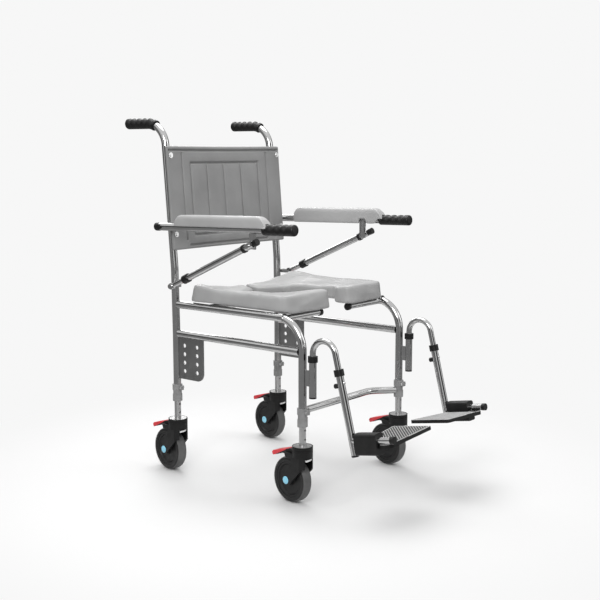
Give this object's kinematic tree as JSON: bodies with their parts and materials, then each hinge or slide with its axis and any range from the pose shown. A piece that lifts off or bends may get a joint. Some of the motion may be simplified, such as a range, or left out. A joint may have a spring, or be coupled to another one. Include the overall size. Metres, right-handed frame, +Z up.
{
  "type": "commode chair",
  "caption": "Wheeled commode chair: bent steel tube frame, split grey seat pads with a central opening, swing-up armrests, footrests and castors.",
  "frame": {"origin": "on the floor, under the centre of the chair's bounding box", "axes": "+Z up, -Y the way the sitter faces, +X the sitter's left"},
  "size_m": [0.561, 0.9592, 1.0355],
  "materials": {
    "stainless_tube": "polished",
    "screw_steel": "polished",
    "grip_rubber": "satin, ribbed",
    "tread": "matte",
    "castor_plastic": "satin",
    "pedal_plastic": "satin",
    "pad_foam": "soft satin skin",
    "back_foam": "soft satin skin",
    "sleeve_plastic": "satin",
    "black_plastic": "satin",
    "plate_plastic": "satin, ribbed top"
  },
  "bodies": {
    "frame": {"rear_post_left": "stainless_tube", "rear_post_right": "stainless_tube", "side_rail_left": "stainless_tube", "side_rail_right": "stainless_tube", "seat_pad_left": "pad_foam", "seat_pad_right": "pad_foam", "cross_rails": "stainless_tube", "seat_supports": "stainless_tube", "wheel_plates": "stainless_tube", "footrest_receivers": "stainless_tube", "leg_sleeves": "sleeve_plastic", "frame_screws": "screw_steel", "frame_caps": "black_plastic", "push_grips": "grip_rubber", "backrest_panel": "back_foam", "arm_brackets": "stainless_tube"},
    "armrest_left": {"arm_tube_left": "stainless_tube", "arm_grips_left": "grip_rubber", "arm_pad_left": "pad_foam"},
    "strut_left": {"strut_tube_left": "stainless_tube", "strut_collars_left": "black_plastic"},
    "strut_rod_left": {"strut_rod_left": "stainless_tube"},
    "strut_button_left": {"strut_button_left": "black_plastic"},
    "hanger_left": {"hanger_tube_left": "stainless_tube"},
    "footrest_left": {"footrest_tube_left": "stainless_tube", "footrest_clamp_left": "black_plastic"},
    "footplate_left": {"plate_clamp_left": "black_plastic", "footplate_left": "plate_plastic"},
    "armrest_right": {"arm_tube_right": "stainless_tube", "arm_grips_right": "grip_rubber", "arm_pad_right": "pad_foam"},
    "strut_right": {"strut_tube_right": "stainless_tube", "strut_collars_right": "black_plastic"},
    "strut_rod_right": {"strut_rod_right": "stainless_tube"},
    "strut_button_right": {"strut_button_right": "black_plastic"},
    "hanger_right": {"hanger_tube_right": "stainless_tube"},
    "footrest_right": {"footrest_tube_right": "stainless_tube", "footrest_clamp_right": "black_plastic"},
    "footplate_right": {"plate_clamp_right": "black_plastic", "footplate_right": "plate_plastic"},
    "leg_front_left": {"inner_leg_front_left": "stainless_tube"},
    "castor_front_left": {"castor_fork_front_left": "castor_plastic"},
    "wheel_front_left": {"wheel_rim_front_left": "castor_plastic", "tyre_front_left": "tread"},
    "pedal_front_left": {"brake_pedal_front_left": "pedal_plastic"},
    "leg_front_right": {"inner_leg_front_right": "stainless_tube"},
    "castor_front_right": {"castor_fork_front_right": "castor_plastic"},
    "wheel_front_right": {"wheel_rim_front_right": "castor_plastic", "tyre_front_right": "tread"},
    "pedal_front_right": {"brake_pedal_front_right": "pedal_plastic"},
    "leg_rear_left": {"inner_leg_rear_left": "stainless_tube"},
    "castor_rear_left": {"castor_fork_rear_left": "castor_plastic"},
    "wheel_rear_left": {"wheel_rim_rear_left": "castor_plastic", "tyre_rear_left": "tread"},
    "pedal_rear_left": {"brake_pedal_rear_left": "pedal_plastic"},
    "leg_rear_right": {"inner_leg_rear_right": "stainless_tube"},
    "castor_rear_right": {"castor_fork_rear_right": "castor_plastic"},
    "wheel_rear_right": {"wheel_rim_rear_right": "castor_plastic", "tyre_rear_right": "tread"},
    "pedal_rear_right": {"brake_pedal_rear_right": "pedal_plastic"}
  },
  "joints": [
    {"name": "armrest_swing_left", "type": "hinge", "parent": "frame", "child": "armrest_left", "pos_m": [0.265, 0.30402, 0.727], "axis": [-1, 0, 0], "range_deg": [0, 90]},
    {"name": "strut_hinge_left", "type": "hinge", "parent": "armrest_left", "child": "strut_left", "pos_m": [0.262, -0.0291, 0.69], "axis": [1, 0, 0], "range_deg": [0, 24.35]},
    {"name": "strut_extend_left", "type": "slide", "parent": "strut_left", "child": "strut_rod_left", "axis": [0, 0.9148, -0.4039], "range_m": [0, 0.1763]},
    {"name": "strut_release_left", "type": "slide", "parent": "strut_left", "child": "strut_button_left", "axis": [0, 0.9148, -0.4039], "range_m": [0, 0.004], "stiffness_N_per_m": 400},
    {"name": "hanger_swing_left", "type": "hinge", "parent": "frame", "child": "hanger_left", "pos_m": [0.227, -0.2176, 0.4], "axis": [0, 0, 1], "range_deg": [0, 90]},
    {"name": "footrest_length_left", "type": "slide", "parent": "hanger_left", "child": "footrest_left", "axis": [0, -0.2487, -0.9686], "range_m": [-0.015, 0.06]},
    {"name": "footplate_flip_left", "type": "hinge", "parent": "footrest_left", "child": "footplate_left", "pos_m": [0.227, -0.34787, 0.20496], "axis": [0, 0.9848, -0.1736], "range_deg": [0, 75]},
    {"name": "armrest_swing_right", "type": "hinge", "parent": "frame", "child": "armrest_right", "pos_m": [-0.265, 0.30402, 0.727], "axis": [-1, 0, 0], "range_deg": [0, 90]},
    {"name": "strut_hinge_right", "type": "hinge", "parent": "armrest_right", "child": "strut_right", "pos_m": [-0.262, -0.0291, 0.69], "axis": [1, 0, 0], "range_deg": [0, 24.35]},
    {"name": "strut_extend_right", "type": "slide", "parent": "strut_right", "child": "strut_rod_right", "axis": [0, 0.9148, -0.4039], "range_m": [0, 0.1763]},
    {"name": "strut_release_right", "type": "slide", "parent": "strut_right", "child": "strut_button_right", "axis": [0, 0.9148, -0.4039], "range_m": [0, 0.004], "stiffness_N_per_m": 400},
    {"name": "hanger_swing_right", "type": "hinge", "parent": "frame", "child": "hanger_right", "pos_m": [-0.227, -0.2176, 0.4], "axis": [0, 0, -1], "range_deg": [0, 90]},
    {"name": "footrest_length_right", "type": "slide", "parent": "hanger_right", "child": "footrest_right", "axis": [0, -0.2487, -0.9686], "range_m": [-0.015, 0.06]},
    {"name": "footplate_flip_right", "type": "hinge", "parent": "footrest_right", "child": "footplate_right", "pos_m": [-0.227, -0.34787, 0.20496], "axis": [0, -0.9848, 0.1736], "range_deg": [0, 75]},
    {"name": "leg_height_front_left", "type": "slide", "parent": "frame", "child": "leg_front_left", "axis": [0, 0, -1], "range_m": [0, 0.075]},
    {"name": "castor_swivel_front_left", "type": "hinge", "parent": "leg_front_left", "child": "castor_front_left", "pos_m": [0.227, -0.1829, 0.162], "axis": [0, 0, 1], "continuous": true},
    {"name": "wheel_spin_front_left", "type": "hinge", "parent": "castor_front_left", "child": "wheel_front_left", "pos_m": [0.23242, -0.14387, 0.0625], "axis": [0.9905, -0.1374, 0], "continuous": true},
    {"name": "brake_press_front_left", "type": "hinge", "parent": "castor_front_left", "child": "pedal_front_left", "pos_m": [0.22892, -0.16903, 0.141], "axis": [-0.9905, 0.1374, 0], "range_deg": [0, 10]},
    {"name": "leg_height_front_right", "type": "slide", "parent": "frame", "child": "leg_front_right", "axis": [0, 0, -1], "range_m": [0, 0.075]},
    {"name": "castor_swivel_front_right", "type": "hinge", "parent": "leg_front_right", "child": "castor_front_right", "pos_m": [-0.227, -0.1829, 0.162], "axis": [0, 0, 1], "continuous": true},
    {"name": "wheel_spin_front_right", "type": "hinge", "parent": "castor_front_right", "child": "wheel_front_right", "pos_m": [-0.22159, -0.14387, 0.0625], "axis": [0.9905, -0.1374, 0], "continuous": true},
    {"name": "brake_press_front_right", "type": "hinge", "parent": "castor_front_right", "child": "pedal_front_right", "pos_m": [-0.22508, -0.16903, 0.141], "axis": [-0.9905, 0.1374, 0], "range_deg": [0, 10]},
    {"name": "leg_height_rear_left", "type": "slide", "parent": "frame", "child": "leg_rear_left", "axis": [0, 0, -1], "range_m": [0, 0.075]},
    {"name": "castor_swivel_rear_left", "type": "hinge", "parent": "leg_rear_left", "child": "castor_rear_left", "pos_m": [0.227, 0.2907, 0.162], "axis": [0, 0, 1], "continuous": true},
    {"name": "wheel_spin_rear_left", "type": "hinge", "parent": "castor_rear_left", "child": "wheel_rear_left", "pos_m": [0.23242, 0.32973, 0.0625], "axis": [0.9905, -0.1374, 0], "continuous": true},
    {"name": "brake_press_rear_left", "type": "hinge", "parent": "castor_rear_left", "child": "pedal_rear_left", "pos_m": [0.22892, 0.30457, 0.141], "axis": [-0.9905, 0.1374, 0], "range_deg": [0, 10]},
    {"name": "leg_height_rear_right", "type": "slide", "parent": "frame", "child": "leg_rear_right", "axis": [0, 0, -1], "range_m": [0, 0.075]},
    {"name": "castor_swivel_rear_right", "type": "hinge", "parent": "leg_rear_right", "child": "castor_rear_right", "pos_m": [-0.227, 0.2907, 0.162], "axis": [0, 0, 1], "continuous": true},
    {"name": "wheel_spin_rear_right", "type": "hinge", "parent": "castor_rear_right", "child": "wheel_rear_right", "pos_m": [-0.22159, 0.32973, 0.0625], "axis": [0.9905, -0.1374, 0], "continuous": true},
    {"name": "brake_press_rear_right", "type": "hinge", "parent": "castor_rear_right", "child": "pedal_rear_right", "pos_m": [-0.22508, 0.30457, 0.141], "axis": [-0.9905, 0.1374, 0], "range_deg": [0, 10]}
  ],
  "couplings": [
    {"joint": "strut_hinge_left", "follows": "armrest_swing_left", "ratio": 0.26832},
    {"joint": "strut_extend_left", "follows": "armrest_swing_left", "m_per_rad": 0.11159},
    {"joint": "strut_hinge_right", "follows": "armrest_swing_right", "ratio": 0.26832},
    {"joint": "strut_extend_right", "follows": "armrest_swing_right", "m_per_rad": 0.11159}
  ]
}
